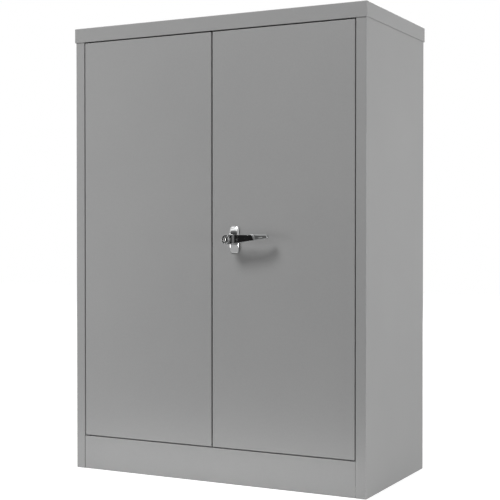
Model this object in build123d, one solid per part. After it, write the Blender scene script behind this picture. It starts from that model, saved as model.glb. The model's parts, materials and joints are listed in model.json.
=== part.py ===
from build123d import *
import math
import os

# Two-door tool cabinet of folded sheet steel, free standing, with three lift-out shelves.
# A lever on the right door turns a cam that throws one rod up and one rod down.
# X runs to the right as seen from the front, Y to the back and Z up, in millimetres.
# The origin is on the floor, in the middle of the width and of the depth over the lever.

# ---- Carcass ----
height = 1200.0          # floor to the top of the cap
body_width = 850.0       # over the side panels
body_depth = 420.0       # door face to the back of the rear flanges
sheet = 1.0              # panels, doors, deck and shelves
rail_sheet = 1.2         # header rail and kick panel
bend_radius = 2.0        # outside radius of each fold
slip = 0.2               # room for a folded piece between its neighbours
cap_rim = 38.0           # depth of the rim of the cap
cap_clearance = 1.0      # between the rim and the panels inside it
stile_width = 27.5       # front flange of a side panel
rear_flange = 20.0       # rear, top and bottom flanges of a side panel
plinth_height = 89.0     # floor to the sill under the doors
deck_rise = 14.0         # deck above the sill
deck_flange = 20.0       # side and rear flanges of the deck
header_height = 28.0     # front flange of the header rail
header_back = 14.0       # back flange of the header rail, which carries the stop strip
stop_lip = 15.0          # stop strip behind the doors
stop_lap = 12.0          # stop strip welded to the header rail
sill_overlap = 14.0      # sill carried on behind the stop plane
kick_return = 20.0       # foot of the kick panel along the floor
sill_lip = 10.0          # fold down at the back of the sill
tab_height = 20.0        # end tabs of the header rail and the kick panel, welded to the stiles
tab_depth = 15.0
swage_count = 3          # pressed ribs in the back panel
swage_width = 40.0
swage_depth = 4.0
stiffener_width = 62.0   # hat sections under the cap, the deck and the shelves
stiffener_crown = 30.0
stiffener_depth = 15.0
stiffener_setback = 35.0  # end of a stiffener to the side web

# ---- Shelves and their uprights ----
upright_sheet = 1.2
upright_width = 45.0
upright_crown = 25.0     # slotted face
upright_depth = 10.0
upright_head_gap = 8.0   # under the cap
upright_foot_gap = 4.0   # over the deck
front_upright_inset = 54.0  # stop plane to the middle of the front upright
rear_upright_inset = 47.0   # back to the middle of the rear upright
slot_width = 14.0
slot_height = 5.0
slot_pitch = 90.0
first_slot = 78.0        # deck to the lowest slot
last_slot_gap = 40.0     # highest slot to the head of the upright, at least
shelf_count = 3
shelf_thickness = 25.0
shelf_return = 12.0      # folds under the shelf, along all four edges
shelf_side_gap = 3.5     # to the slotted face
shelf_front_gap = 14.0   # stop plane to the front of the shelf
shelf_back_gap = 8.0     # to the back panel
clip_sheet = 1.5
clip_width = 12.0
clip_drop = 13.0         # slot to the ledge under the shelf
clip_ledge = 16.0        # ledge out from the slotted face
clip_hook = 8.0          # hook up behind the slotted face
clip_gap = 0.15          # clip to the slot and to the slotted face

# ---- Doors ----
side_gap = 2.0
meeting_gap = 3.0
top_gap = 3.0
bottom_gap = 2.5
door_thickness = 20.0
door_return = 15.0       # folds round the back of the door
mitre_gap = 0.8          # cut between two returns at a corner
stop_gap = 3.0           # back of the door to the stop lips
door_hat_width = 90.0
door_hat_crown = 50.0
door_hat_depth = 16.0
door_hat_end_gap = 20.0  # end of the stiffener to the end of the door
pivot_inset = 8.0        # hinge axis to the side edge of the door
pivot_depth = 5.5        # hinge axis behind the door face
pin_diameter = 5.0
pin_engagement = 4.5     # pin inside the bush, beyond the rail face
pin_tail = 6.0           # pin inside the door, beyond its plate
running_gap = 0.05       # radial clearance of every turning or sliding fit
bush_size = 6.6          # square body, so that the bush can't turn
bush_length = 5.0
flange_size = 10.0
flange_thickness = 2.4   # the lower flanges carry the doors
hinge_plate_length = 32.0
hinge_plate_thickness = 3.0
buffer_size = 9.0
buffer_gap = 0.3         # closed door to the rubber
buffer_offset = 30.0     # from the middle of the cabinet
buffer_edge = 6.5        # from the top or bottom edge of the door

# ---- Lock and lever ----
lock_x = 67.0            # lever axis to the middle of the cabinet
lock_height = 626.0      # lever axis above the floor
handle_reach = 48.0      # door face to the front of the lock cylinder
head_diameter = 25.0
head_depth = 13.0
cylinder_proud = 0.6     # lock cylinder in front of the lever head
neck_diameter = 16.0
lever_length = 104.0     # axis to the middle of the rounded tip
lever_rise = 7.3         # tip above the axis
tip_diameter = 10.4
arm_thickness = 11.0
arm_bend = 80.0          # axis to the bend of the arm
arm_set = 9.0            # tip bent towards the door
arm_edge = 1.2           # bevel round the head and the arm
plate_width = 27.0
plate_height = 69.0
plate_thickness = 8.0
plate_corner = 7.0
plate_edge = 3.0         # bevel of its front edge, inwards and back
plate_edge_back = 2.0
collar_width = 22.0      # round boss on the plate
collar_reach = 8.0
cylinder_diameter = 19.0
cylinder_depth = 11.0
plug_diameter = 12.0
plug_recess = 0.3
keyway_width = 1.8
keyway_height = 7.0
keyway_depth = 7.0
spindle_size = 8.0
spindle_socket = 12.0    # spindle inside the neck of the lever
socket_gap = 0.05
backplate_width = 44.0
backplate_height = 88.0
backplate_thickness = 3.0
fixing_pitch = 48.0      # two screws through the backplate into the escutcheon
throw_radius = 18.0      # lever axis to a drive pin
drive_pin = 5.0
yoke_play = 0.8          # drive pin to the long sides of its slot
yoke_end_play = 0.5      # drive pin to the ends of its slot
yoke_wall = 2.0
yoke_tail = 8.0          # rod beyond the middle of its slot
rod_thickness = 3.0
rod_depth = 10.5         # middle of a rod behind the door face
rod_inset = 2.0          # drawn rod inside the end of the door
rod_room = 2.0           # round a rod in the header rail and in the sill
guide_height = 12.0
guide_wall = 3.0
guide_offset = 120.0     # lock to its nearer guides
guide_end = 40.0         # outer guides to the ends of the door
cam_thickness = 2.5
cam_gap = 0.5            # back of the door to the cam
cam_hub = 28.0
cam_arm = 10.0           # width round each drive pin
tongue_length = 80.0
tongue_width = 20.0

# ---- Screws ----
screw_diameter = 5.0
screw_head = 8.0         # across flats
screw_head_height = 3.5
screw_bite = 5.0         # fixing screw inside the escutcheon
cam_screw_head = 13.0
cam_screw_length = 12.0

# ---- Planes and edges that several pieces share ----
cap_overhang = cap_clearance + sheet
face_y = handle_reach - (handle_reach + body_depth + cap_overhang) / 2
back_y = face_y + body_depth
door_back_y = face_y + door_thickness
stop_y = door_back_y + stop_gap
panel_y = back_y - 2 * sheet            # front of the back panel
half_width = body_width / 2
web_x = half_width - sheet              # inside of a side panel
opening_x = half_width - stile_width    # inner edge of a stile
panel_top = height - sheet
rim_z = height - cap_rim
deck_z = plinth_height + deck_rise
door_x = (meeting_gap / 2, opening_x - side_gap)
door_z = (plinth_height + bottom_gap, rim_z - top_gap)
door_y = (face_y, door_back_y)
pivot_x = door_x[1] - pivot_inset
pivot_y = face_y + pivot_depth
rod_y = face_y + rod_depth
crown_x = web_x - upright_depth         # slotted face of the uprights
upright_ys = {"front": stop_y + front_upright_inset, "rear": back_y - rear_upright_inset}
upright_head = panel_top - upright_head_gap
slot_count = int((upright_head - last_slot_gap - deck_z - first_slot) // slot_pitch) + 1
slot_bottoms = [deck_z + first_slot + slot_pitch * n for n in range(slot_count)]
cam_y = (door_back_y + cam_gap, door_back_y + cam_gap + cam_thickness)
throw = throw_radius / math.sqrt(2)     # drive pin beside and above or below the axis, at rest
yoke_near = throw - drive_pin / 2 - yoke_end_play
yoke_far = throw_radius + drive_pin / 2 + yoke_end_play
rod_offset = (yoke_near + yoke_far) / 2
rod_width = yoke_far - yoke_near + 2 * yoke_wall


def block(x, y, z):
    """Box between three (low, high) pairs."""
    size = Box(x[1] - x[0], y[1] - y[0], z[1] - z[0])
    return Pos((x[0] + x[1]) / 2, (y[0] + y[1]) / 2, (z[0] + z[1]) / 2) * size


def inset(pair, amount):
    return (pair[0] + amount, pair[1] - amount)


def bar(axis, diameter, at, along):
    """Round bar along an axis, between two values; at gives its other two coordinates in order."""
    turn = {"X": Rot(Y=90), "Y": Rot(X=90), "Z": Rot()}[axis]
    middle = (along[0] + along[1]) / 2
    place = list(at)
    place.insert("XYZ".index(axis), middle)
    return Pos(*place) * turn * Cylinder(diameter / 2, along[1] - along[0])


def folded_shell(x, y, z, folds):
    """Closed box of sheet, to be opened by cuts, with rounded folds along the axes named."""
    outer = block(x, y, z)
    inner = block(inset(x, sheet), inset(y, sheet), inset(z, sheet))
    outer_folds = [edge for axis in folds for edge in outer.edges().filter_by(axis)]
    inner_folds = [edge for axis in folds for edge in inner.edges().filter_by(axis)]
    return fillet(outer_folds, bend_radius) - fillet(inner_folds, bend_radius - sheet)


def bent_strip(points, plane, length, wall, fold=0):
    """Strip of constant wall along its centre line, as long on one side of the plane as the other."""
    line = FilletPolyline(*points, radius=fold) if fold else Polyline(*points)
    return extrude(plane * trace(line, wall), length / 2, both=True)


def hat(width, crown, depth, length, wall=sheet):
    """Hat section along Z: its flanges lie on Y = 0 and its crown is at Y = depth."""
    low = wall / 2
    high = depth - wall / 2
    leg = (crown - wall) / 2
    points = [(-width / 2, low), (-leg, low), (-leg, high), (leg, high), (leg, low), (width / 2, low)]
    return bent_strip(points, Plane.XY, length, wall)


def hanging_hat(half_length, y, z):
    """Stiffener along X under a panel whose underside is at z."""
    under = Plane(origin=(0, y, z), x_dir=(0, -1, 0), z_dir=(1, 0, 0))
    return under * hat(stiffener_width, stiffener_crown, stiffener_depth, 2 * half_length)


def screw(at, seat_y, head, length):
    """Hexagon screw driven from behind: its head lies on the seat and its shank runs to the front."""
    under = Plane(origin=(at[0], seat_y, at[1]), x_dir=(1, 0, 0), z_dir=(0, 1, 0))
    hexagon = extrude(under * RegularPolygon(head / math.sqrt(3), 6), screw_head_height)
    return hexagon + bar("Y", screw_diameter, at, (seat_y - length, seat_y))


def mirrored(shape):
    return shape.mirror(Plane.YZ)


def left_and_right(name, right):
    """A right-hand piece and its mirror image, by node name."""
    return {f"{name}_left": mirrored(right), f"{name}_right": right}


# ---- Places on the rails ----
tab_y = (face_y + bend_radius + rail_sheet, face_y + bend_radius + rail_sheet + tab_depth)
rail_fold = bend_radius - rail_sheet / 2
buffer_zs = (door_z[0] + buffer_edge, door_z[1] - buffer_edge)


# ---- Carcass ----
def side_panel():
    """Right side: web, front stile with its jamb return, and rear, top and bottom flanges."""
    panel = folded_shell((opening_x, half_width), (face_y, back_y), (0, panel_top), [Axis.Z])
    open_side = (opening_x - 1, half_width - rear_flange)
    return panel - block(open_side, (stop_y, back_y + 1), (-1, height))


def back_panel():
    """Back, welded to the rear flanges from inside, with upright ribs pressed towards the shelves."""
    edge = web_x - bend_radius
    flat = panel_y + sheet / 2
    points = [(-edge, flat)]
    for n in range(swage_count):
        x = body_width * ((n + 1) / (swage_count + 1) - 0.5)
        foot = swage_width / 2
        crown = foot - swage_depth
        points += [(x - foot, flat), (x - crown, flat - swage_depth)]
        points += [(x + crown, flat - swage_depth), (x + foot, flat)]
    points.append((edge, flat))
    return bent_strip(points, Plane.XY.offset(panel_top / 2), panel_top - 2 * bend_radius, sheet)


def top_cap():
    """Cap with a deep rim, lying on the side panels."""
    x = (-half_width - cap_overhang, half_width + cap_overhang)
    y = (face_y - cap_overhang, back_y + cap_overhang)
    below = rim_z - 2 * bend_radius
    cap = folded_shell(x, y, (below, height), [Axis.X, Axis.Y])
    return cap - block(inset(x, -1), inset(y, -1), (below - 1, rim_z))


def bush_block(size, z, side=1):
    """Square block on a hinge axis: the body, the flange or the hole of a bush."""
    half = size / 2
    x = side * pivot_x
    return block((x - half, x + half), (pivot_y - half, pivot_y + half), sorted(z))


def rod_span(up, room=0):
    """X and Y spans of a rod, or of a hole that leaves it some room; up is +1 for the upper rod."""
    x = lock_x - up * rod_offset
    half_width_and_room = rod_width / 2 + room
    half_thickness_and_room = rod_thickness / 2 + room
    across = (x - half_width_and_room, x + half_width_and_room)
    return across, (rod_y - half_thickness_and_room, rod_y + half_thickness_and_room)


def end_tabs(z):
    """Tabs turned at both ends of a rail, which lie against the jamb returns."""
    tab = block((opening_x - rail_sheet, opening_x), tab_y, z)
    return [tab, mirrored(tab)]


def header_rail():
    """Rail over the doors: front flange behind the cap rim, soffit with the bushes, and back flange."""
    front = face_y + rail_sheet / 2
    soffit = rim_z + rail_sheet / 2
    back = stop_y - rail_sheet / 2
    points = [(front, rim_z + header_height), (front, soffit), (back, soffit), (back, rim_z + header_back)]
    rail = bent_strip(points, Plane.YZ, 2 * opening_x, rail_sheet, rail_fold)
    rail += end_tabs((soffit, rim_z + tab_height))
    through = (rim_z - 1, rim_z + 2 * rail_sheet)
    rail -= [bush_block(bush_size, through, side) for side in (-1, 1)]
    return rail - block(*rod_span(1, rod_room), through)


def header_stop():
    """Flat strip welded to the back of the header rail, which stops the tops of the doors."""
    z = (rim_z - stop_lip, rim_z + stop_lap)
    return block((-opening_x, opening_x), (stop_y, stop_y + rail_sheet), z)


def kick_panel():
    """Plinth: foot return, face between the stiles, and sill with the lower bushes."""
    front = face_y + rail_sheet / 2
    foot = rail_sheet / 2
    sill = plinth_height - rail_sheet / 2
    back = stop_y + sill_overlap
    points = [(front + kick_return, foot), (front, foot), (front, sill), (back, sill)]
    points.append((back, plinth_height - sill_lip))
    panel = bent_strip(points, Plane.YZ, 2 * opening_x, rail_sheet, rail_fold)
    panel += end_tabs((plinth_height - 3 * tab_height, sill))
    through = (plinth_height - 2 * rail_sheet, plinth_height + 1)
    panel -= [bush_block(bush_size, through, side) for side in (-1, 1)]
    return panel - block(*rod_span(-1, rod_room), through)


def deck():
    """Cabinet floor: its front flange stands on the sill and stops the doors."""
    x = (-web_x + slip, web_x - slip)
    y = (stop_y, panel_y - swage_depth - slip)
    low = deck_z - deck_flange
    below = low - 2 * bend_radius
    floor = folded_shell(x, y, (below, deck_z), [Axis.X, Axis.Y])
    floor -= block(inset(x, -1), inset(y, -1), (below - 1, low))
    sill = (stop_y - 1, stop_y + sill_overlap + slip)
    return floor - block(inset(x, -1), sill, (below, plinth_height))


def upright(y):
    """Right-hand slotted upright, welded to the side web by its two flanges."""
    foot = deck_z + upright_foot_gap
    section = hat(upright_width, upright_crown, upright_depth, upright_head - foot, upright_sheet)
    post = Pos(web_x, y, (upright_head + foot) / 2) * Rot(Z=90) * section
    face = (crown_x - 1, crown_x + 2 * upright_sheet)
    across = (y - slot_width / 2, y + slot_width / 2)
    return post - [block(face, across, (z, z + slot_height)) for z in slot_bottoms]


# ---- Shelves ----
shelf_half = crown_x - shelf_side_gap
shelf_y = (stop_y + shelf_front_gap, panel_y - shelf_back_gap)


def shelf(slot):
    """Lift-out shelf on the ledges of the clips in this slot, with all four edges folded twice."""
    x = (-shelf_half, shelf_half)
    low = slot - clip_drop
    window = block(inset(x, shelf_return), inset(shelf_y, shelf_return), (low - 1, low + 2 * sheet))
    return folded_shell(x, shelf_y, (low, low + shelf_thickness), [Axis.X, Axis.Y]) - window


def shelf_stiffener(slot):
    under = slot - clip_drop + shelf_thickness - sheet
    return hanging_hat(web_x - stiffener_setback, sum(shelf_y) / 2, under)


def shelf_clips(slot):
    """Four strips hooked through the uprights, each with a ledge under a corner of the shelf."""
    gap = clip_gap + clip_sheet / 2
    hook_x = crown_x + upright_sheet + gap
    face_x = crown_x - gap
    step_z = slot + gap
    ledge_z = slot - clip_drop - clip_sheet / 2
    points = [(hook_x, step_z + clip_hook), (hook_x, step_z), (face_x, step_z)]
    points += [(face_x, ledge_z), (crown_x - clip_ledge, ledge_z)]
    clip = bent_strip(points, Plane.XZ, clip_width, clip_sheet)
    right = [Pos(Y=y) * clip for y in upright_ys.values()]
    return Compound(right + [mirrored(one) for one in right])


# ---- Doors and their pivots ----
at_pivot = (pivot_x, pivot_y)


def pivot_bushes():
    """Flanged bushes for the two hinge pins of the right door, pressed into the rails."""
    bushes = []
    for seat, outward in ((rim_z, 1), (plinth_height, -1)):
        body = bush_block(bush_size, (seat, seat + outward * bush_length))
        flange = bush_block(flange_size, (seat, seat - outward * flange_thickness))
        bore = inset((seat - bush_length, seat + bush_length), -1)
        bushes.append(body + flange - bar("Z", pin_diameter + 2 * running_gap, at_pivot, bore))
    return Compound(bushes)


def door_skin():
    """Door pan: face, four sides and returns, with the corners of the returns mitred."""
    pan = folded_shell(door_x, door_y, door_z, [Axis.X, Axis.Z])
    depth = (door_back_y - 2 * sheet, door_back_y + 1)
    pan -= block(inset(door_x, door_return), depth, inset(door_z, door_return))
    mitre = (2 * bend_radius, door_return + mitre_gap)
    cut = Box(math.sqrt(2) * (mitre[1] - mitre[0]), 4 * sheet, mitre_gap)
    middle = sum(mitre) / 2
    for x, from_left in ((door_x[0] + middle, 1), (door_x[1] - middle, -1)):
        for z, from_below in ((door_z[0] + middle, 1), (door_z[1] - middle, -1)):
            pan -= Pos(x, door_back_y, z) * Rot(Y=-45 * from_left * from_below) * cut
    return pan - bar("Z", pin_diameter + 2 * slip, at_pivot, inset(door_z, -1))


def lock_door_skin():
    """Right door pan with the holes for the lock, its screws and its two rods."""
    face = (face_y - 1, face_y + 2 * sheet)
    pan = door_skin() - bar("Y", neck_diameter, (lock_x, lock_height), face)
    for z in fixing_zs:
        pan -= bar("Y", screw_diameter, (lock_x, z), face)
    pan -= block(*rod_span(1, slip), (door_z[1] - 2 * sheet, door_z[1] + 1))
    return pan - block(*rod_span(-1, slip), (door_z[0] - 1, door_z[0] + 2 * sheet))


def door_stiffener():
    """Upright hat section on the inside of the door face, half way across."""
    length = door_z[1] - door_z[0] - 2 * door_hat_end_gap
    place = Pos(sum(door_x) / 2, face_y + sheet, sum(door_z) / 2)
    return place * hat(door_hat_width, door_hat_crown, door_hat_depth, length)


def plate_z(end, inward):
    """Height span of the hinge plate at one end of the door; inward points into the door."""
    seat = end + inward * sheet
    return sorted((seat, seat + inward * hinge_plate_thickness))


def hinge_plates():
    """Thick plates inside the two ends of the door, into which the hinge pins are pressed."""
    x = (door_x[1] - bend_radius - hinge_plate_length, door_x[1] - bend_radius)
    plates = []
    for z in (plate_z(door_z[0], 1), plate_z(door_z[1], -1)):
        hole = bar("Z", pin_diameter, at_pivot, inset(z, -1))
        plates.append(block(x, inset(door_y, bend_radius), z) - hole)
    return Compound(plates)


def pivot_pins():
    """Hinge pins from inside the door, through its plates, into the bushes."""
    lower = (plinth_height - pin_engagement, plate_z(door_z[0], 1)[1] + pin_tail)
    upper = (plate_z(door_z[1], -1)[0] - pin_tail, rim_z + pin_engagement)
    return Compound([bar("Z", pin_diameter, at_pivot, z) for z in (lower, upper)])


def door_buffers():
    """Rubber buffers stuck to the stops above and below the meeting edges."""
    half = buffer_size / 2
    places = [(x, z) for x in (-buffer_offset, buffer_offset) for z in buffer_zs]
    y = (door_back_y + buffer_gap, stop_y)
    return Compound([block((x - half, x + half), y, (z - half, z + half)) for x, z in places])


# ---- Lock: seen from the front, the lever points right at rest and turns down by a quarter ----
fixing_zs = [lock_height - fixing_pitch / 2, lock_height + fixing_pitch / 2]
head_y = face_y - handle_reach + cylinder_proud
arm_y = head_y + 1 + arm_thickness / 2
neck_end_y = face_y - 1
backplate_y = (face_y + sheet, face_y + sheet + backplate_thickness)
at_lock = (lock_x, lock_height)


def across_y(sketch, y):
    """Extrude a sketch, drawn about the lever axis as seen from the front, between two Y values."""
    plane = Plane(origin=(lock_x, y[1], lock_height), x_dir=(1, 0, 0), z_dir=(0, -1, 0))
    return extrude(plane * sketch, y[1] - y[0])


def tapered_bar(big, small, reach, rise):
    """Outline of a bar between two circles, the big one on the axis, with its sides tangent to both."""
    slope = math.atan2(rise, reach)
    spread = math.acos((big - small) / math.hypot(reach, rise))
    upper = (math.cos(slope + spread), math.sin(slope + spread))
    lower = (math.cos(slope - spread), math.sin(slope - spread))
    corners = [
        (big * lower[0], big * lower[1]),
        (reach + small * lower[0], rise + small * lower[1]),
        (reach + small * upper[0], rise + small * upper[1]),
        (big * upper[0], big * upper[1]),
    ]
    return Circle(big) + Pos(reach, rise) * Circle(small) + Polygon(*corners, align=None)


def lever_arm():
    """Tapering arm, level along its top, whose last part is bent towards the door."""
    outline = tapered_bar(head_diameter / 2, tip_diameter / 2, lever_length, lever_rise)
    front = across_y(outline, (face_y - handle_reach, face_y))
    far = lever_length + tip_diameter
    set_back = arm_set * (far - arm_bend) / (lever_length - arm_bend)
    points = [(-head_diameter, 0), (arm_bend, 0), (far, set_back)]
    above = Plane(origin=(lock_x, arm_y, lock_height))
    arm = front & bent_strip(points, above, 2 * head_diameter, arm_thickness)
    crease_and_seams = arm.edges().filter_by(Axis.Z) + arm.edges().filter_by(Axis.Y)
    return chamfer(arm.edges() - crease_and_seams, arm_edge)


def lever_handle():
    """Cast lever: head with the lock cylinder, arm, and neck that turns in the escutcheon."""
    head = bar("Y", head_diameter, at_lock, (head_y, head_y + head_depth))
    lever = chamfer(head.edges().group_by(Axis.Y)[0], arm_edge) + lever_arm()
    lever += bar("Y", neck_diameter, at_lock, (head_y + head_depth / 2, neck_end_y))
    lever -= bar("Y", cylinder_diameter, at_lock, (head_y - 1, head_y + cylinder_depth - cylinder_proud))
    socket = spindle_size + 2 * socket_gap
    return lever - across_y(Rectangle(socket, socket), (neck_end_y - spindle_socket, neck_end_y + 1))


cylinder_y = (head_y - cylinder_proud, head_y - cylinder_proud + cylinder_depth)
plug_y = (cylinder_y[0] + plug_recess, cylinder_y[1] - 2)


def lock_cylinder():
    """Ring of the lock in the head of the lever."""
    ring = bar("Y", cylinder_diameter, at_lock, cylinder_y)
    bore = bar("Y", plug_diameter + 2 * running_gap, at_lock, (cylinder_y[0] - 1, plug_y[1] + running_gap))
    return ring - bore


def key_plug():
    """Turning plug with its keyway."""
    keyway = across_y(Rectangle(keyway_width, keyway_height), (plug_y[0] - 1, plug_y[0] + keyway_depth))
    return bar("Y", plug_diameter, at_lock, plug_y) - keyway


def escutcheon():
    """Bevelled plate on the door, with a round boss that guides the neck of the lever."""
    outline = RectangleRounded(plate_width, plate_height, plate_corner)
    plate = across_y(outline, (face_y - plate_thickness, face_y))
    front = plate.faces().sort_by(Axis.Y)[0]
    plate = chamfer(front.edges(), plate_edge, plate_edge_back, reference=front)
    boss = bar("Y", collar_width, at_lock, (face_y - plate_thickness - collar_reach, face_y - 1))
    bore = bar("Y", neck_diameter + 2 * running_gap, at_lock, (face_y - handle_reach, face_y + 1))
    depth = (face_y - screw_bite, face_y + 1)
    holes = [bar("Y", screw_diameter, (lock_x, z), depth) for z in fixing_zs]
    return plate + boss - bore - holes


def lock_backplate():
    """Stiff plate behind the door skin, clamped to the escutcheon."""
    plate = across_y(Rectangle(backplate_width, backplate_height), backplate_y)
    plate -= bar("Y", neck_diameter, at_lock, inset(backplate_y, -1))
    return plate - [bar("Y", screw_diameter, (lock_x, z), inset(backplate_y, -1)) for z in fixing_zs]


def escutcheon_screws():
    """Two screws from inside the door, through backplate and skin, into the escutcheon."""
    length = backplate_thickness + sheet + screw_bite
    return Compound([screw((lock_x, z), backplate_y[1], screw_head, length) for z in fixing_zs])


def spindle():
    """Square bar from the neck of the lever to the cam, drilled for the cam screw."""
    square = Rectangle(spindle_size, spindle_size)
    square_bar = across_y(square, (neck_end_y - spindle_socket, cam_y[1]))
    return square_bar - bar("Y", screw_diameter, at_lock, (cam_y[1] - cam_screw_length, cam_y[1] + 1))


def lock_cam():
    """Cam plate with two drive pins and a tongue that swings behind the left door."""
    arm = tapered_bar(cam_hub / 2, cam_arm / 2, throw_radius, 0)
    tongue = Pos(Y=-tongue_length / 2) * Rectangle(tongue_width, tongue_length)
    outline = Rot(Z=45) * arm + Rot(Z=225) * arm + tongue
    cam = across_y(outline, cam_y)
    far = cam.edges().filter_by(Axis.Y).group_by(Axis.Z)[0]
    cam = fillet(far, tongue_width / 3)
    cam -= across_y(Rectangle(spindle_size, spindle_size), inset(cam_y, -1))
    pin_y = (rod_y - rod_thickness, cam_y[0] + cam_thickness / 2)
    for side in (-1, 1):
        cam += bar("Y", drive_pin, (lock_x + side * throw, lock_height + side * throw), pin_y)
    return cam


def cam_screw():
    """Screw whose wide head holds the cam on the end of the spindle."""
    return screw(at_lock, cam_y[1], cam_screw_head, cam_screw_length)


def lock_rod(up):
    """Flat rod with a slot round its drive pin; up is +1 for the upper rod and -1 for the lower."""
    pin_z = lock_height - up * throw
    end = door_z[1] - rod_inset if up > 0 else door_z[0] + rod_inset
    across, through = rod_span(up)
    slot_half = drive_pin / 2 + yoke_play
    slot = block(inset(across, yoke_wall), inset(through, -1), (pin_z - slot_half, pin_z + slot_half))
    return block(across, through, sorted((pin_z - up * yoke_tail, end))) - slot


def rod_guides():
    """Four nylon blocks on the inside of the door face, two for each rod."""
    places = [
        (1, lock_height + guide_offset),
        (1, door_z[1] - guide_end),
        (-1, lock_height - guide_offset),
        (-1, door_z[0] + guide_end),
    ]
    guides = []
    for up, z in places:
        across, through = rod_span(up, running_gap)
        height_z = (z - guide_height / 2, z + guide_height / 2)
        body = block(inset(across, -guide_wall), (face_y + sheet, through[1] + guide_wall), height_z)
        guides.append(body - block(across, through, inset(height_z, -1)))
    return Compound(guides)


# ---- Every piece by its node name ----
def carcass_nodes():
    nodes = left_and_right("side_panel", side_panel())
    nodes["back_panel"] = back_panel()
    nodes["top_cap"] = top_cap()
    half_stiffener = web_x - stiffener_setback
    nodes["cap_stiffener"] = hanging_hat(half_stiffener, (face_y + back_y) / 2, panel_top)
    nodes["header_rail"] = header_rail()
    nodes["header_stop"] = header_stop()
    nodes["kick_panel"] = kick_panel()
    nodes["deck"] = deck()
    nodes["deck_stiffener"] = hanging_hat(half_stiffener, sum(shelf_y) / 2, deck_z - sheet)
    for place, y in upright_ys.items():
        nodes |= left_and_right(f"upright_{place}", upright(y))
    nodes["door_buffers"] = door_buffers()
    return nodes | left_and_right("pivot_bushes", pivot_bushes())


def shelf_nodes():
    nodes = {}
    for n in range(shelf_count):
        share = (n + 1) / (shelf_count + 1)
        slot = slot_bottoms[round((slot_count + 1) * share) - 1]
        nodes[f"shelf_{n + 1}"] = shelf(slot)
        nodes[f"shelf_stiffener_{n + 1}"] = shelf_stiffener(slot)
        nodes[f"shelf_clips_{n + 1}"] = shelf_clips(slot)
    return nodes


def door_nodes():
    nodes = {"door_skin_left": mirrored(door_skin()), "door_skin_right": lock_door_skin()}
    nodes |= left_and_right("door_stiffener", door_stiffener())
    nodes |= left_and_right("hinge_plates", hinge_plates())
    return nodes | left_and_right("pivot_pins", pivot_pins())


def lock_nodes():
    return {
        "escutcheon": escutcheon(),
        "lock_backplate": lock_backplate(),
        "escutcheon_screws": escutcheon_screws(),
        "rod_guides": rod_guides(),
        "lever_handle": lever_handle(),
        "lock_cylinder": lock_cylinder(),
        "key_plug": key_plug(),
        "spindle": spindle(),
        "lock_cam": lock_cam(),
        "cam_screw": cam_screw(),
        "rod_upper": lock_rod(1),
        "rod_lower": lock_rod(-1),
    }


os.makedirs("parts", exist_ok=True)
for node, shape in (carcass_nodes() | shelf_nodes() | door_nodes() | lock_nodes()).items():
    export_step(shape, f"parts/{node}.step")
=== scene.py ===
import json
import math

import bmesh
import bpy
import numpy as np
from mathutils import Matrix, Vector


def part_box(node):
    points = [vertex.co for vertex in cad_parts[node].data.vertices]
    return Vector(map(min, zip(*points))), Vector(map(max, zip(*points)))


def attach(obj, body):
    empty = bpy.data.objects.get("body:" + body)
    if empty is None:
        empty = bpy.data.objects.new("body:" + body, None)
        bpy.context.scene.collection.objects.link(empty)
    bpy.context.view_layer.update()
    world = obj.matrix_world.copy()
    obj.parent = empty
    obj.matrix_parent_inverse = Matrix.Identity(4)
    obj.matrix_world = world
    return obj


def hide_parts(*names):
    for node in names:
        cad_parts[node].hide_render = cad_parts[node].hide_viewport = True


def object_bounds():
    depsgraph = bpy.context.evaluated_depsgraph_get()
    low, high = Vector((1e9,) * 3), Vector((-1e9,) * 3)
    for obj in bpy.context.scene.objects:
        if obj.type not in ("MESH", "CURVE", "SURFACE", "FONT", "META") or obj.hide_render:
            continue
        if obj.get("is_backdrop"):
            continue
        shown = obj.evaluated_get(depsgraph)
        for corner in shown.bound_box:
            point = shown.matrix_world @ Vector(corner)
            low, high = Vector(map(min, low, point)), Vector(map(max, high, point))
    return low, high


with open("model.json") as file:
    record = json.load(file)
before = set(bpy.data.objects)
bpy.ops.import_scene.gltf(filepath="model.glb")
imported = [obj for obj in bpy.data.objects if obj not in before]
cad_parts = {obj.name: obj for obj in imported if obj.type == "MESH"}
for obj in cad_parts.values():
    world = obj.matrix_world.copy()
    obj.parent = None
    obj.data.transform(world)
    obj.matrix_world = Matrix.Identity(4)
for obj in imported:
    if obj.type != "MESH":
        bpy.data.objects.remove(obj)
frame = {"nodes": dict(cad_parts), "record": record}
scene = bpy.context.scene


# lowest and highest corner of all that is there, as plain numbers
def boxAsLists():
    low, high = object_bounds()
    return [[float(value) for value in corner] for corner in (low, high)]


cadBox = boxAsLists()

# camera on the lock side, a little above the lever, looking almost level
cameraSettings = {
    "lens": 82.85,
    "sensorWidth": 36,
    "turn": 27.335,       # degrees to the left of straight back
    "tip": 0.791,         # degrees down
    "place": (1.4461, -2.7712, 0.6400),
    "nearest": 0.05,
    "farthest": 100,
}


# level camera, tipped down about X and then turned about Z
def placeCamera(settings):
    data = bpy.data.cameras.new("frontCamera")
    data.lens = settings["lens"]
    data.sensor_width = settings["sensorWidth"]
    data.clip_start = settings["nearest"]
    data.clip_end = settings["farthest"]
    camera = bpy.data.objects.new("frontCamera", data)
    camera.location = settings["place"]
    camera.rotation_euler = (math.radians(90 - settings["tip"]), 0, math.radians(settings["turn"]))
    scene.collection.objects.link(camera)
    scene.camera = camera


placeCamera(cameraSettings)
print("camera placed")

meshSettings = {
    "crease": 32,      # edges that fold by more degrees than this stay sharp
    "fineCrease": 24,  # for the chamfers of screws
    "around": 96,      # points round a turned piece
}


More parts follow.
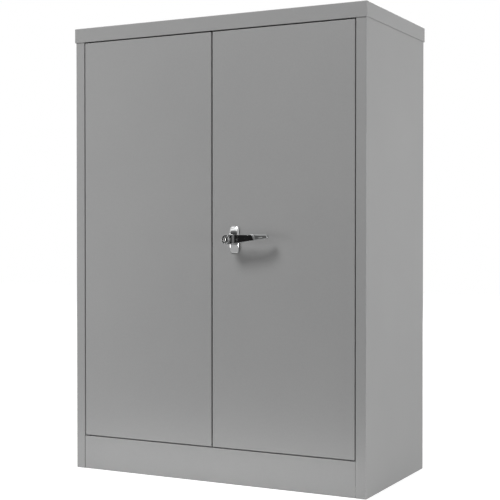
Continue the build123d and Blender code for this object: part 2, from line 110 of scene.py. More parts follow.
# mesh from any array of xyz, smooth but for its creases
def addMesh(name, points, faces, crease=meshSettings["crease"]):
    mesh = bpy.data.meshes.new(name)
    mesh.from_pydata(np.asarray(points, float).reshape(-1, 3).tolist(), [], faces)
    mesh.polygons.foreach_set("use_smooth", np.ones(len(mesh.polygons), bool))
    mesh.update()
    mesh.set_sharp_from_angle(angle=math.radians(crease))
    piece = bpy.data.objects.new(name, mesh)
    scene.collection.objects.link(piece)
    return piece


# closed surface with its faces outward: one whose volume comes out negative is inside out, and is turned
def addShell(name, points, faces, crease=meshSettings["crease"]):
    piece = addMesh(name, points, faces, crease)
    shell = bmesh.new()
    shell.from_mesh(piece.data)
    if shell.calc_volume(signed=True) < 0:
        piece.data.flip_normals()
    shell.free()
    return piece


# quads of a grid of points: each point, the next in its row, and the same two of the next row
def gridFaces(rows, columns, closed=False, start=0):
    steps = columns if closed else columns - 1
    row, column = np.meshgrid(np.arange(rows - 1), np.arange(steps), indexing="ij")
    after = (column + 1) % columns
    here = row * columns + start
    there = here + columns
    quads = np.stack([here + column, here + after, there + after, there + column], axis=-1)
    return quads.reshape(-1, 4).tolist()


# rings joined by quads, and at each end a fan of triangles from a pole in the middle of the ring
def tubeFaces(rows, columns, start=0):
    around = np.arange(columns) + start
    after = np.roll(around, -1)
    pole = np.full(columns, start + rows * columns)
    last = (rows - 1) * columns
    firstFan = np.stack([pole, after, around], axis=-1).tolist()
    lastFan = np.stack([pole + 1, last + around, last + after], axis=-1).tolist()
    return gridFaces(rows, columns, True, start) + firstFan + lastFan


# points of the rings, then the two poles: the mean of the first ring and of the last
def tubePoints(rings):
    return np.concatenate([rings.reshape(-1, 3), rings[:1].mean(axis=1), rings[-1:].mean(axis=1)])


# closed surface through rings of points, one after the other
def closedTube(name, rings, crease=meshSettings["crease"]):
    rings = np.asarray(rings, float)
    return addShell(name, tubePoints(rings), tubeFaces(*rings.shape[:2]), crease)


# profile of (radius, y) spun about the Y axis through centre: x = radius * cosine, z = radius * sine.
# A third value is the half width across the flats of a hexagon that the ring can't pass: the radius is
# the smaller of the profile's and flats / cosine of the angle from the nearest flat
def spinProfile(name, profile, centre, count=meshSettings["around"], crease=meshSettings["crease"]):
    rows = np.array([(*row, 1.0)[:3] for row in profile])
    radius, depth, flats = rows.T[:, :, None]
    angle = np.linspace(0, 2 * np.pi, count, endpoint=False)[None, :]
    sixth = np.pi / 3
    fromFlat = (angle + sixth / 2) % sixth - sixth / 2
    radius = np.minimum(radius, flats / np.cos(fromFlat))
    x = centre[0] + radius * np.cos(angle)
    z = centre[1] + radius * np.sin(angle)
    return closedTube(name, np.stack([x, np.broadcast_to(depth, x.shape), z], axis=-1), crease)


# quarter circle of a profile: centre + size * (cosine * first + sine * second), in even steps
def quarterCircle(centre, size, first, second, count):
    angle = np.linspace(0, np.pi / 2, count)[:, None]
    way = np.cos(angle) * np.array(first) + np.sin(angle) * np.array(second)
    return (np.array(centre) + size * way).tolist()


# superellipse: |x / halfWidth| ** power + |z / halfHeight| ** power = 1, by angle
def superCurve(angle, halfWidth, halfHeight, power):
    cosine = np.cos(angle)
    sine = np.sin(angle)
    size = (np.abs(cosine / halfWidth) ** power + np.abs(sine / halfHeight) ** power) ** (-1 / power)
    return size * cosine, size * sine


# one small closed shape set at many places: local axes u, v and outward n are the rows of axes
def stampShape(name, rings, places, axes):
    local = tubePoints(rings) @ np.asarray(axes, float)
    points = np.asarray(places, float)[:, None, :] + local[None, :, :]
    faces = []
    for k in range(len(places)):
        faces += tubeFaces(*rings.shape[:2], k * len(local))
    return addShell(name, points, faces)


# empty node group with numbers in and out, and the two ends that its nodes are joined to
def newGroup(name, inputs, outputs):
    group = bpy.data.node_groups.new(name, "ShaderNodeTree")
    for label, value in inputs.items():
        socket = group.interface.new_socket(label, in_out="INPUT", socket_type="NodeSocketFloat")
        socket.default_value = value
    for label in outputs:
        group.interface.new_socket(label, in_out="OUTPUT", socket_type="NodeSocketFloat")
    given = group.nodes.new("NodeGroupInput").outputs
    result = group.nodes.new("NodeGroupOutput").inputs
    return group, given, result


# node with its settings, and for each of its inputs a link or a plain value
def addNode(tree, kind, links=None, **values):
    node = tree.nodes.new("ShaderNode" + kind)
    for key, value in values.items():
        setattr(node, key, value)
    for key, value in (links or {}).items():
        if isinstance(value, bpy.types.NodeSocket):
            tree.links.new(value, node.inputs[key])
        else:
            node.inputs[key].default_value = value
    return node


# place on the object, in metres
def objectPlace(tree):
    return addNode(tree, "TexCoord").outputs["Object"]


# one operation on two numbers, or on one
def compute(tree, operation, *terms):
    return addNode(tree, "Math", dict(enumerate(terms)), operation=operation).outputs[0]


# noise from 0 to 1 with waves of the given size: scale = 1 / size
def addNoise(tree, place, size, detail):
    links = {"Vector": place, "Scale": compute(tree, "DIVIDE", 1.0, size), "Detail": detail}
    return addNode(tree, "TexNoise", links).outputs["Fac"]


# (1 - share) * first + share * second
def mixNumbers(tree, share, first, second):
    return addNode(tree, "Mix", {"Factor": share, 2: first, 3: second}).outputs[0]


# straight line from one pair of limits to another: 0 to 1 where only one pair is given
def mapRange(tree, value, before=(0.0, 1.0), after=(0.0, 1.0)):
    links = {0: value, 1: before[0], 2: before[1], 3: after[0], 4: after[1]}
    return addNode(tree, "MapRange", links).outputs[0]


grainSettings = {"fineDetail": 2.0, "peelDetail": 1.0, "contrast": (0.35, 0.65)}


# fine speckle mixed with a slower orange peel, as a height and, sharper, as a mask
def buildPowderGrain(settings):
    inputs = {"Speckle Size": 0.0006, "Peel Size": 0.003, "Peel Share": 0.35}
    group, given, result = newGroup("powderGrain", inputs, ["Height", "Mask"])
    place = objectPlace(group)
    fine = addNoise(group, place, given["Speckle Size"], settings["fineDetail"])
    peel = addNoise(group, place, given["Peel Size"], settings["peelDetail"])
    mixed = mixNumbers(group, given["Peel Share"], fine, peel)
    group.links.new(mixed, result["Height"])
    group.links.new(mapRange(group, mixed, settings["contrast"]), result["Mask"])
    return group


toneSettings = {"detail": 3.0, "contrast": (0.3, 0.7)}


# large soft clouds of tone, as on any sprayed or handled surface
def buildSlowTone(settings):
    group, given, result = newGroup("slowTone", {"Size": 0.25}, ["Mask"])
    cloud = addNoise(group, objectPlace(group), given["Size"], settings["detail"])
    group.links.new(mapRange(group, cloud, settings["contrast"]), result["Mask"])
    return group


scratchSettings = {"detail": 2.0}


# two crossed sets of long thin streaks: noise stretched along X times noise stretched along Z
def buildFineScratches(settings):
    group, given, result = newGroup("fineScratches", {"Width": 0.0004, "Length": 0.02}, ["Height"])
    place = objectPlace(group)
    across = compute(group, "DIVIDE", 1.0, given["Width"])
    along = compute(group, "DIVIDE", 1.0, given["Length"])
    heights = []
    for order in ((along, across, across), (across, across, along)):
        scale = addNode(group, "CombineXYZ", dict(zip("XYZ", order))).outputs[0]
        spread = addNode(group, "VectorMath", {0: place, 1: scale}, operation="MULTIPLY").outputs[0]
        heights.append(addNoise(group, spread, 1.0, settings["detail"]))
    group.links.new(compute(group, "MULTIPLY", *heights), result["Height"])
    return group


powderGrain = buildPowderGrain(grainSettings)
slowTone = buildSlowTone(toneSettings)
fineScratches = buildFineScratches(scratchSettings)


# one use of a shared effect, with its own values
def placeGroup(tree, group, values):
    node = tree.nodes.new("ShaderNodeGroup")
    node.node_tree = group
    for key, value in values.items():
        node.inputs[key].default_value = value
    return node.outputs


# material with its nodes and its shader
def newMaterial(name):
    material = bpy.data.materials.new(name)
    material.use_nodes = True
    return material, material.node_tree, material.node_tree.nodes["Principled BSDF"]


# colour on the straight line from dark to light
def blendTone(tree, factor, settings, socket):
    node = addNode(tree, "ValToRGB", {"Fac": factor})
    for element, colour in zip(node.color_ramp.elements, (settings["dark"], settings["light"])):
        element.color = (*colour, 1)
    tree.links.new(node.outputs["Color"], socket)


# roughness on the straight line between its two limits
def blendRoughness(tree, factor, settings, shader):
    roughness = mapRange(tree, factor, after=settings["roughness"])
    tree.links.new(roughness, shader.inputs["Roughness"])


# relief: strength, and the distance in metres that a height of 1 stands for
def addBump(tree, height, settings, shader):
    strength, distance = settings["bump"]
    node = addNode(tree, "Bump", {"Height": height, "Strength": strength, "Distance": distance})
    tree.links.new(node.outputs["Normal"], shader.inputs["Normal"])


paintSettings = {
    "dark": (0.284, 0.285, 0.286),
    "light": (0.314, 0.314, 0.313),
    "roughness": (0.46, 0.56),
    "gloss": 0.45,
    "bump": (0.35, 0.0003),       # strength, distance
    "grain": {"Speckle Size": 0.0009, "Peel Size": 0.0035, "Peel Share": 0.4},
    "clouds": {"Size": 0.35},
    "cloudShare": 0.45,
    # painted shade along the open joint of the plinth and the left stile: its place from the side, half
    # width, fade and dark colour
    "joint": {"fromSide": 0.0276, "halfWidth": 0.0005, "fade": 0.0007, "dark": (0.03, 0.03, 0.03)},
}


# painted shade of the open joint between the plinth and the left stile: 1 within the half width of the
# joint's plane and below the top of the plinth, then straight down to 0 over the fade
def paintedJointShade(tree, settings):
    place = addNode(tree, "SeparateXYZ", {0: objectPlace(tree)}).outputs
    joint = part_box("side_panel_left")[0][0] + settings["fromSide"]
    distance = compute(tree, "ABSOLUTE", compute(tree, "SUBTRACT", place["X"], joint))
    reach = settings["halfWidth"] + settings["fade"]
    line = mapRange(tree, distance, (settings["halfWidth"], reach), (1.0, 0.0))
    below = compute(tree, "LESS_THAN", place["Z"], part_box("kick_panel")[1][2])
    return compute(tree, "MULTIPLY", line, below)


# powder coat: baked grey with a fine orange peel, faint clouds where the spray was thicker, and a painted
# shade line in the open joint of the plinth and the left stile
def makePaint(settings):
    material, tree, shader = newMaterial("greyPowderCoat")
    grain = placeGroup(tree, powderGrain, settings["grain"])
    clouds = placeGroup(tree, slowTone, settings["clouds"])
    mixed = mixNumbers(tree, settings["cloudShare"], grain["Mask"], clouds["Mask"])
    # painted shade in the plinth's left joint: the grey is mixed to the dark colour where the line's mask is
    # 1
    shadeLine = settings["joint"]
    shadedTone = addNode(tree, "Mix", {0: paintedJointShade(tree, shadeLine), 7: (*shadeLine["dark"], 1)}, data_type="RGBA")
    blendTone(tree, mixed, settings, shadedTone.inputs[6])
    tree.links.new(shadedTone.outputs[2], shader.inputs["Base Color"])
    blendRoughness(tree, grain["Mask"], settings, shader)
    shader.inputs["Specular IOR Level"].default_value = settings["gloss"]
    addBump(tree, grain["Height"], settings, shader)
    return material


chromeSettings = {
    "dark": (0.53, 0.535, 0.54),
    "light": (0.60, 0.605, 0.60),
    "roughness": (0.04, 0.10),
    "bump": (0.03, 0.0002),
    "clouds": {"Size": 0.012},
    "scratches": {"Width": 0.0003, "Length": 0.012},
}


# chrome over a polished casting: nearly a mirror, with hairlines and a little unevenness
def makeChrome(settings):
    material, tree, shader = newMaterial("chromePlate")
    clouds = placeGroup(tree, slowTone, settings["clouds"])
    scratches = placeGroup(tree, fineScratches, settings["scratches"])
    blendTone(tree, clouds["Mask"], settings, shader.inputs["Base Color"])
    blendRoughness(tree, clouds["Mask"], settings, shader)
    shader.inputs["Metallic"].default_value = 1.0
    addBump(tree, scratches["Height"], settings, shader)
    return material


zincSettings = {
    "dark": (0.46, 0.47, 0.48),
    "light": (0.62, 0.63, 0.63),
    "roughness": (0.28, 0.42),
    "bump": (0.12, 0.0002),
    "grain": {"Speckle Size": 0.0005, "Peel Size": 0.004, "Peel Share": 0.6},
    "scratches": {"Width": 0.0003, "Length": 0.008},
    "scratchShare": 0.5,
}


# bright zinc on rolled steel: satin, with rolling streaks and a fine mottle
def makeZinc(settings):
    material, tree, shader = newMaterial("zincPlate")
    grain = placeGroup(tree, powderGrain, settings["grain"])
    scratches = placeGroup(tree, fineScratches, settings["scratches"])
    mixed = mixNumbers(tree, settings["scratchShare"], grain["Mask"], scratches["Height"])
    blendTone(tree, mixed, settings, shader.inputs["Base Color"])
    blendRoughness(tree, grain["Mask"], settings, shader)
    shader.inputs["Metallic"].default_value = 1.0
    addBump(tree, scratches["Height"], settings, shader)
    return material


nylonSettings = {
    "dark": (0.030, 0.030, 0.031),
    "light": (0.050, 0.050, 0.051),
    "roughness": (0.38, 0.50),
    "bump": (0.15, 0.0002),
    "grain": {"Speckle Size": 0.0006, "Peel Size": 0.004, "Peel Share": 0.5},
    "clouds": {"Size": 0.006},
}


# moulded nylon: black, waxy, with a fine spark-eroded grain
def makeNylon(settings):
    material, tree, shader = newMaterial("blackNylon")
    grain = placeGroup(tree, powderGrain, settings["grain"])
    clouds = placeGroup(tree, slowTone, settings["clouds"])
    blendTone(tree, clouds["Mask"], settings, shader.inputs["Base Color"])
    blendRoughness(tree, grain["Mask"], settings, shader)
    addBump(tree, grain["Height"], settings, shader)
    return material


rubberSettings = {
    "dark": (0.022, 0.022, 0.023),
    "light": (0.042, 0.042, 0.043),
    "roughness": (0.70, 0.85),
    "bump": (0.3, 0.0002),
    "grain": {"Speckle Size": 0.0005, "Peel Size": 0.002, "Peel Share": 0.3},
}


# soft black rubber, dull and slightly dusty
def makeRubber(settings):
    material, tree, shader = newMaterial("blackRubber")
    grain = placeGroup(tree, powderGrain, settings["grain"])
    blendTone(tree, grain["Mask"], settings, shader.inputs["Base Color"])
    blendRoughness(tree, grain["Mask"], settings, shader)
    addBump(tree, grain["Height"], settings, shader)
    return material


finishes = {
    "grey_powder_coat": makePaint(paintSettings),
    "chrome_trim": makeChrome(chromeSettings),
    "zinc_plated_steel": makeZinc(zincSettings),
    "nylon": makeNylon(nylonSettings),
    "rubber": makeRubber(rubberSettings),
}


# one finish all over a piece
def dress(piece, slotName):
    piece.data.materials.clear()
    piece.data.materials.append(finishes[slotName])


for entry in frame["record"]["subparts"]:
    dress(frame["nodes"][entry["node"]], entry["material_slot"])
print("finishes placed on", len(frame["nodes"]), "nodes")


# finish a new piece, let it move with its body, and hide the nodes that it stands for
def finishPiece(piece, bodyName, slotName, *replaced):
    dress(piece, slotName)
    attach(piece, bodyName)
    if replaced:
        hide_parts(*replaced)


# lever lock, in metres; at rest the lever points right
lockSettings = {
    "axis": (0.067, 0.626),
    "doorFace": -0.187,
    "headFront": -0.2344,
    "neckEnd": -0.188,
}
lockAxis = lockSettings["axis"]
axisX, axisZ = lockAxis
doorFace = lockSettings["doorFace"]
headFront = lockSettings["headFront"]
neckEnd = lockSettings["neckEnd"]

plateSettings = {
    "halfWidth": 0.0135,
    "halfHeight": 0.0345,
    "squareness": 6.0,
    "rim": 0.0052,           # height at the plate's ends
    "crown": 0.0028,         # more in its middle
    "rollStart": 0.64,       # share of the way out at which the edge begins to roll over
    "rollDepth": 0.0042,
    "firstShare": 0.03,      # innermost ring, as a share of the way out
    "firstRoll": 0.09,       # first ring of the rolled edge, as a share of its quarter turn
    "flatRings": 18,
    "rollRings": 14,
    "around": 144,
}


# plate crowned from top to bottom: height = rim + crown * (1 - (z / halfHeight) ** 2), less a quarter
# circle that rolls its edge over between rollStart and the outline, which is a superellipse
def makeEscutcheon(settings):
    angle = np.linspace(0, 2 * np.pi, settings["around"], endpoint=False)
    x, z = superCurve(angle, settings["halfWidth"], settings["halfHeight"], settings["squareness"])
    start = settings["rollStart"]
    flat = np.linspace(settings["firstShare"], start, settings["flatRings"])
    turn = np.linspace(settings["firstRoll"], 1, settings["rollRings"]) * np.pi / 2
    share = np.concatenate([flat, start + (1 - start) * np.sin(turn)])[:, None]
    over = np.clip((share - start) / (1 - start), 0, 1)
    height = settings["rim"] + settings["crown"] * (1 - (share * z / settings["halfHeight"]) ** 2)
    height = height - settings["rollDepth"] * (1 - np.sqrt(np.maximum(1 - over ** 2, 0)))
    rings = np.stack([axisX + share * x, doorFace - height, axisZ + share * z], axis=-1)
    foot = rings[-1:].copy()
    foot[:, :, 1] = doorFace
    return closedTube("escutcheonPlate", np.concatenate([rings, foot])[::-1])


finishPiece(makeEscutcheon(plateSettings), "door_right", "chrome_trim", "escutcheon")

bossSettings = {
    "radius": 0.011,
    "front": -0.203,
    "roll": 0.0014,
    "rollSteps": 7,
    "bore": 0.0081,
    "boreChamfer": 0.0005,
    "boreDepth": 0.004,
    # out from the radius, and off the door or behind the front
    "fillet": [(0.0010, 0.0060), (0.0007, 0.0076), (0.0002, 0.0086), (0.0, 0.0096)],
    "groove": [(0.0, 0.0046), (-0.0004, 0.0042), (-0.0004, 0.0036), (0.0, 0.0032)],
}


# turned collar on the plate: fillet at its foot, one shallow groove, a quarter circle rolled over at the
# front, and a bore round the neck
def makeBoss(settings):
    radius, front, bore, roll = (settings[key] for key in ("radius", "front", "bore", "roll"))
    chamfer = settings["boreChamfer"]
    profile = [(radius + out, doorFace - height) for out, height in settings["fillet"]]
    profile += [(radius + out, front + behind) for out, behind in settings["groove"]]
    profile += quarterCircle((radius - roll, front + roll), roll, (1, 0), (0, -1), settings["rollSteps"])
    profile += [(bore + chamfer, front), (bore, front + chamfer), (bore, front + settings["boreDepth"])]
    return spinProfile("escutcheonBoss", profile, lockAxis)


finishPiece(makeBoss(bossSettings), "door_right", "chrome_trim")

armSettings = {
    "reach": 0.104,         # lock axis to the middle of the tip circle
    "rise": 0.0073,
    "rootHalf": 0.0125,
    "tipHalf": 0.0052,
    "thickness": 0.011,
    "step": 0.0002,         # front of the head to the front of the arm
    "bend": 0.0765,         # the crease, along the arm
    "slant": 0.42,
    "bendRound": 0.0045,
    "setBack": 0.009,       # at the tip
    "topEdge": 0.0005,
    "lowEdge": 0.0004,
    "tipEdge": 0.0014,
    "backEdge": 0.0010,
    "edgeGrowth": 0.006,    # stretch beyond the crease over which the edges grow rounder
    "edgeLimit": 0.85,      # share of the half height
    "crown": 0.00012,
    "crownPower": 8,
    "groove": (0.0250, 0.0105, 0.00090),             # along, half length, depth
    "thumbDish": (0.0925, 0.0085, 0.0030, 0.00024),  # along, half length, half height, depth
    "bodyRings": 120,
    "tipRings": 24,
    "tipStretch": 0.006,
    "firstTurn": 0.05,
    "lastShare": 0.9997,
    "least": 1e-12,         # square of the half height at the very end, so that no ring is a line
    "frontSteps": 34,
    "backSteps": 8,
    "cornerSteps": 7,
    "crease": 40,
}


# depth of a smooth oval dish: depth * (1 - r ** 2) ** 2 inside r = 1, r the distance in half sizes
def ovalDish(along, up, dish):
    centre, halfLength, halfHeight, depth = dish
    distance = ((along - centre) / halfLength) ** 2 + (up / halfHeight) ** 2
    return depth * np.clip(1 - distance, 0, 1) ** 2


# depth of a shallow groove across the arm: depth * (1 - r ** 2) ** 2, r the distance in half lengths
def crossGroove(along, groove):
    centre, halfLength, depth = groove
    return depth * np.clip(1 - ((along - centre) / halfLength) ** 2, 0, 1) ** 2


# distances of the rings from the lock axis: even steps, then closer and closer as a sine up to the tip
def armPlaces(settings, end):
    near = end - settings["tipStretch"]
    turn = np.linspace(settings["firstTurn"], 1, settings["tipRings"]) * np.pi / 2
    tip = near + settings["tipStretch"] * np.sin(turn) * settings["lastShare"]
    return np.concatenate([np.linspace(0, near, settings["bodyRings"]), tip])


# upper (sign 1) or lower (sign -1) edge of the arm: the common tangent of the root circle and the tip
# circle, then the tip circle
def armEdge(along, sign, settings):
    reach, rise, big, small = (settings[key] for key in ("reach", "rise", "rootHalf", "tipHalf"))
    way = math.atan2(rise, reach) + sign * math.acos((big - small) / math.hypot(reach, rise))
    start = (big * math.cos(way), big * math.sin(way))
    touch = (reach + small * math.cos(way), rise + small * math.sin(way))
    line = start[1] + (along - start[0]) * (touch[1] - start[1]) / (touch[0] - start[0])
    halfChord = np.sqrt(np.maximum(small ** 2 - (along - reach) ** 2, settings["least"]))
    return np.where(along > touch[0], rise + sign * halfChord, line)


# section at each ring, as y and height: flat front, flat back, and quarter circles at their corners
def armSection(depth, half, topRound, lowRound, backRound, settings):
    quarter = np.linspace(0, np.pi / 2, settings["cornerSteps"])[None, :]

    # radius * (cosine, sine) about a point one radius inside the corner
    def corner(ySide, zSide, radius, startAngle):
        y = ySide * (depth - radius) + radius * np.cos(startAngle - quarter)
        up = zSide * (half - radius) + radius * np.sin(startAngle - quarter)
        return y, up

    # even steps from one height to another, without the two ends
    def side(ySide, low, high, count):
        up = low + (high - low) * np.linspace(0, 1, count + 2)[1:-1][None, :]
        return np.broadcast_to(ySide * depth, up.shape), up

    parts = [
        side(-1, lowRound - half, half - topRound, settings["frontSteps"]),
        corner(-1, 1, topRound, np.pi),
        corner(1, 1, backRound, np.pi / 2),
        side(1, half - backRound, backRound - half, settings["backSteps"]),
        corner(1, -1, backRound, 0.0),
        corner(-1, -1, lowRound, -np.pi / 2),
    ]
    return [np.concatenate(values, axis=1) for values in zip(*parts)]


# cast arm: its section carried along X between the two edges, with a crowned front, a groove and a dish
# in it, and a slanted crease beyond which it bends back to the door
def makeLeverArm(settings):
    end = settings["reach"] + settings["tipHalf"]
    along = armPlaces(settings, end)
    top = armEdge(along, 1, settings)[:, None]
    bottom = armEdge(along, -1, settings)[:, None]
    middle = (top + bottom) / 2
    half = (top - bottom) / 2
    along = along[:, None]
    tipEdge = settings["tipEdge"]
    growth = np.clip((along - settings["bend"]) / settings["edgeGrowth"], 0, 1)
    growth = (tipEdge - settings["topEdge"]) * growth
    limit = settings["edgeLimit"] * half
    topRound = np.minimum(settings["topEdge"] + growth, limit)
    lowRound = np.minimum(settings["lowEdge"] + growth, limit)
    backRound = np.minimum(settings["backEdge"], limit)
    # the tip's end is a quarter circle too: depth falls by tipEdge * (1 - root of (1 - (1 - nose) ** 2))
    nose = np.clip((end - along) / tipEdge, 0, 1)
    depth = settings["thickness"] / 2 - tipEdge * (1 - np.sqrt(np.maximum(1 - (1 - nose) ** 2, 0)))
    y, up = armSection(depth, half, topRound, lowRound, backRound, settings)
    forward = np.clip(-y / depth, 0, 1) ** settings["crownPower"]
    hollow = ovalDish(along, up, settings["thumbDish"]) + crossGroove(along, settings["groove"])
    y = y + forward * (settings["crown"] * (up / half) ** 2 + hollow)
    # softened ramp log(1 + exp(t)) of the distance past the slanted crease, as deep as setBack at the
    # tip; its softness is a third of the bend's round
    past = along - settings["bend"] + settings["slant"] * up
    softness = settings["bendRound"] / 3
    ramp = softness * np.logaddexp(0, past / softness)
    y = y + ramp * settings["setBack"] / (settings["reach"] - settings["bend"])
    y = headFront + settings["step"] + settings["thickness"] / 2 + y
    x = np.broadcast_to(axisX + along, y.shape)
    return closedTube("leverArm", np.stack([x, y, axisZ + middle + up], axis=-1), settings["crease"])


finishPiece(makeLeverArm(armSettings), "handle", "chrome_trim", "lever_handle")

headSettings = {
    "radius": 0.0125,
    "edge": 0.0005,
    "depth": 0.013,
    "seat": 0.0096,
    "seatDepth": 0.0095,
    "seatChamfer": (0.0003, 0.0005),   # out, back
    "neck": 0.008,
    "fillet": 0.0020,
    "neckChamfer": (0.0005, 0.0006),
    "neckFace": 0.002,                 # flat end, from its outline in
    "turnSteps": 6,
}


# turned head and neck: flat face with a seat for the lock, quarter circles at its edges and down to the neck
def makeLeverHead(settings):
    radius, edge, seat, neck = (settings[key] for key in ("radius", "edge", "seat", "neck"))
    fillet = settings["fillet"]
    steps = settings["turnSteps"]
    seatOut, seatBack = settings["seatChamfer"]
    neckIn, neckBack = settings["neckChamfer"]
    back = headFront + settings["depth"]
    profile = [(seat, headFront + settings["seatDepth"]), (seat, headFront + seatBack)]
    profile += [(seat + seatOut, headFront)]
    profile += quarterCircle((radius - edge, headFront + edge), edge, (0, -1), (1, 0), steps)
    profile += quarterCircle((radius - edge, back - edge), edge, (1, 0), (0, 1), steps)
    profile += quarterCircle((neck + fillet, back + fillet), fillet, (0, -1), (-1, 0), steps)
    profile += [(neck, neckEnd - neckBack), (neck - neckIn, neckEnd), (neck - settings["neckFace"], neckEnd)]
    return spinProfile("leverHead", profile, lockAxis)


finishPiece(makeLeverHead(headSettings), "handle", "chrome_trim")
print("lever built")

cylinderSettings = {
    "radius": 0.0095,
    "chamfer": 0.0008,
    "depth": 0.011,
    "proud": 0.0006,          # before the face of the head
    "bore": 0.00605,
    "boreDepth": 0.009,
    "boreChamfer": 0.8,       # share of the outer chamfer
    "groove": (0.0004, 0.0002, 0.00025),   # half width at its top and at its bottom, depth
}


# ring of the lock: chamfered outside, flat land with a fine groove in its middle, chamfered in to the plug
def makeCylinderRing(settings):
    radius, bore, chamfer = (settings[key] for key in ("radius", "bore", "chamfer"))
    front = headFront - settings["proud"]
    back = front + settings["depth"]
    inner = chamfer * settings["boreChamfer"]
    wide, narrow, sunk = settings["groove"]
    land = (radius - chamfer + bore + inner) / 2
    profile = [(bore, front + settings["boreDepth"]), (bore, front + inner), (bore + inner, front)]
    profile += [(land - wide, front), (land - narrow, front + sunk)]
    profile += [(land + narrow, front + sunk), (land + wide, front)]
    profile += [(radius - chamfer, front), (radius, front + chamfer), (radius, back), (bore, back)]
    return spinProfile("lockCylinderRing", profile, lockAxis)


finishPiece(makeCylinderRing(cylinderSettings), "handle", "chrome_trim", "lock_cylinder")

plugSettings = {
    "radius": 0.0060,
    "chamfer": 0.0006,
    "front": -0.2347,
    "back": -0.2262,
    "dishRadius": 0.0046,
    "dishEdge": 0.0002,
    "dish": 0.00022,
    "slotWidth": 0.0018,
    "slotHeight": 0.0070,
    "slotDepth": 0.0065,
    "slotSquareness": 7.0,
    "slotFlare": (0.22, 0.066),   # share that its mouth is wider and higher
    "flareDepth": 0.0003,
    "around": 96,
}


# plug: each ring is (1 - share) * the slot's superellipse + share * a circle; slot walls behind, a shallow
# dish and a chamfer in front
def makeKeyPlug(settings):
    angle = np.linspace(0, 2 * np.pi, settings["around"], endpoint=False)
    halfSlot = (settings["slotWidth"] / 2, settings["slotHeight"] / 2)
    slotX, slotZ = superCurve(angle, *halfSlot, settings["slotSquareness"])
    front, radius, dish, chamfer = (settings[key] for key in ("front", "radius", "dishRadius", "chamfer"))

    def ring(share, circle, depth, flare=(0.0, 0.0)):
        x = (1 - share) * slotX * (1 + flare[0]) + share * circle * np.cos(angle)
        z = (1 - share) * slotZ * (1 + flare[1]) + share * circle * np.sin(angle)
        return np.stack([axisX + x, np.full_like(x, depth), axisZ + z], axis=-1)

    low = front + settings["dish"]
    rings = [
        ring(0, 0, front + settings["slotDepth"]),
        ring(0, 0, low + settings["flareDepth"]),
        ring(0, 0, low, settings["slotFlare"]),
        ring(0.5, dish, low),
        ring(1, dish - settings["dishEdge"], low),
        ring(1, dish, front),
        ring(1, radius - chamfer, front),
        ring(1, radius, front + chamfer),
        ring(1, radius, settings["back"]),
    ]
    return closedTube("keyPlugFace", rings)


finishPiece(makeKeyPlug(plugSettings), "key_plug", "chrome_trim", "key_plug")
print("lock face built")

# hexagon screws; radii are shares of the half width across the flats, heights shares of the head's
screwSettings = {
    "sizes": {
        "fixing": {"flats": 0.0040, "height": 0.0035, "shank": 0.0025, "seat": -0.183, "bite": 0.009},
        "cam": {"flats": 0.0065, "height": 0.0035, "shank": 0.0025, "seat": -0.164, "bite": 0.012},
    },
    "fixingPitch": 0.048,
    "shankChamfer": 0.0005,
    "washer": (0.97, 0.0003),            # radius, thickness in metres
    "corner": 1.155,
    "cone": [(1.155, 0.74), (1.06, 0.88)],
    "top": [0.94, 0.60],
    "dimple": [(0.52, 0.0005), (0.10, 0.0006)],   # radius, depth in metres
    "around": 72,
}


# screw seen from inside the door: chamfered shank, washer face, flats whose corners a cone turns off, and
# a dimple on top
def makeScrew(name, centre, size, settings):
    seat, height, flats, shank = (size[key] for key in ("seat", "height", "flats", "shank"))
    end = seat - size["bite"]
    top = seat + height
    chamfer = settings["shankChamfer"]
    washer, thickness = settings["washer"]
    profile = [(shank - chamfer, end), (shank, end + chamfer), (shank, seat)]
    profile += [(flats * washer, seat), (flats * washer, seat + thickness)]
    profile += [(flats * settings["corner"], seat + thickness, flats)]
    profile += [(flats * share, seat + height * up, flats) for share, up in settings["cone"]]
    profile += [(flats * share, top) for share in settings["top"]]
    profile += [(flats * share, top - depth) for share, depth in settings["dimple"]]
    return spinProfile(name, profile, centre, settings["around"], meshSettings["fineCrease"])


for label, side in (("Low", -1), ("High", 1)):
    place = (axisX, axisZ + side * screwSettings["fixingPitch"] / 2)
    screw = makeScrew("fixingScrew" + label, place, screwSettings["sizes"]["fixing"], screwSettings)
    replaced = ["escutcheon_screws"] if side > 0 else []
    finishPiece(screw, "door_right", "zinc_plated_steel", *replaced)
screw = makeScrew("camScrewHead", lockAxis, screwSettings["sizes"]["cam"], screwSettings)
finishPiece(screw, "handle", "zinc_plated_steel", "cam_screw")

bufferSettings = {
    "half": 0.0045,
    "thickness": 0.0027,
    "squareness": 5.0,
    "seat": -0.164,
    "inset": 0.28,          # share that its top is smaller
    "wall": 0.45,           # share of the thickness below the rolled edge
    "around": 40,
    "rollSteps": 8,
}


# stuck-on rubber pads: outline a superellipse, edge rolled over on a quarter circle
def makeBuffers(settings):
    low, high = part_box("door_buffers")
    half = settings["half"]
    wall = settings["wall"]
    angle = np.linspace(0, 2 * np.pi, settings["around"], endpoint=False)
    u, v = superCurve(angle, half, half, settings["squareness"])
    turn = np.linspace(0, np.pi / 2, settings["rollSteps"])[:, None]
    share = 1 - settings["inset"] * (1 - np.cos(turn))
    height = settings["thickness"] * (wall + (1 - wall) * np.sin(turn))
    rings = np.stack([share * u, share * v, height + 0 * u], axis=-1)
    foot = rings[:1].copy()
    foot[:, :, 2] = 0
    rows = (low[2] + half, high[2] - half)
    places = [(x, settings["seat"], z) for x in (low[0] + half, high[0] - half) for z in rows]
    return stampShape("rubberPads", np.concatenate([foot, rings]), places, [(1, 0, 0), (0, 0, 1), (0, -1, 0)])


finishPiece(makeBuffers(bufferSettings), "cabinet", "rubber", "door_buffers")
print("screws and pads built")

